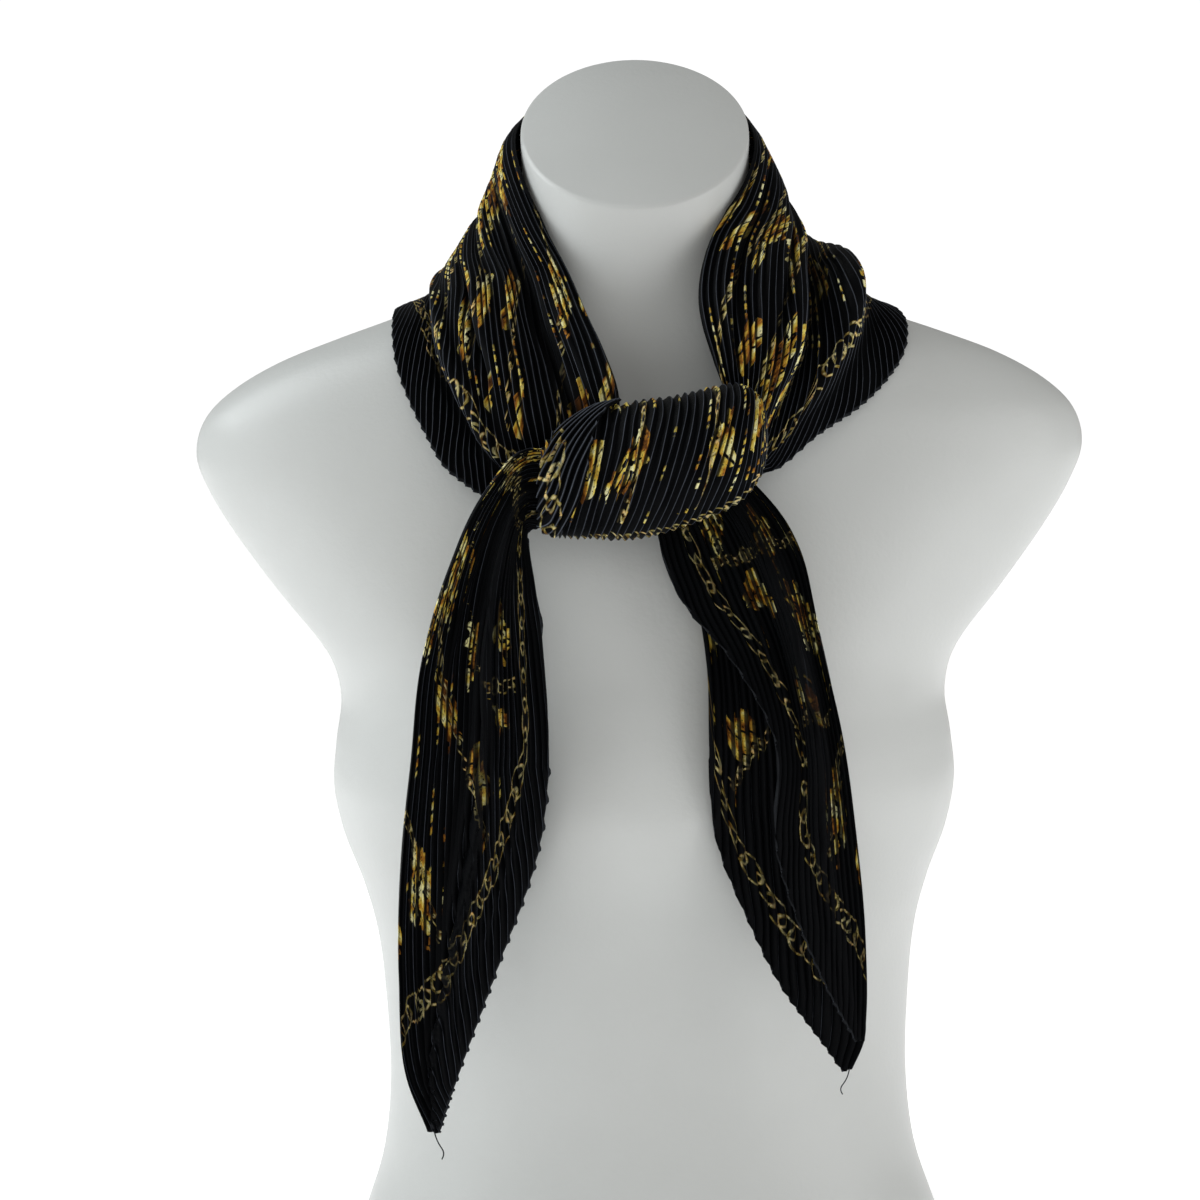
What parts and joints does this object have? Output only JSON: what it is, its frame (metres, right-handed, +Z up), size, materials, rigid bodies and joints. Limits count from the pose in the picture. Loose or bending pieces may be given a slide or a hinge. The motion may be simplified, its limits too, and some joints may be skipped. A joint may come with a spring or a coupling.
{
  "type": "modal scarf on a dress form",
  "caption": "Finely pleated dark printed scarf with a chain border, wound round the neck of a smooth white dress form and knotted in front, its tails hanging down.",
  "frame": {"origin": "centre of the dress form's flat base, where it stands on a surface", "axes": "+Z up along the form, the scarf's knot and the form's front face -Y, +X towards the right of someone looking at the front"},
  "size_m": [0.396, 0.2491, 0.6655],
  "materials": {
    "scarf_cloth": "matte modal cloth in fine sharp pleats, near black with gold, rust and cream print",
    "form_shell": "white semi-gloss moulded shell with a fine orange-peel surface"
  },
  "bodies": {
    "root": {"form": "form_shell", "scarf_neck_left": "scarf_cloth", "scarf_nape": "scarf_cloth", "scarf_neck_right": "scarf_cloth", "scarf_knot": "scarf_cloth", "scarf_knot_flap": "scarf_cloth", "scarf_tail_left": "scarf_cloth", "scarf_tail_right": "scarf_cloth", "scarf_tail_right_back": "scarf_cloth"}
  },
  "joints": []
}
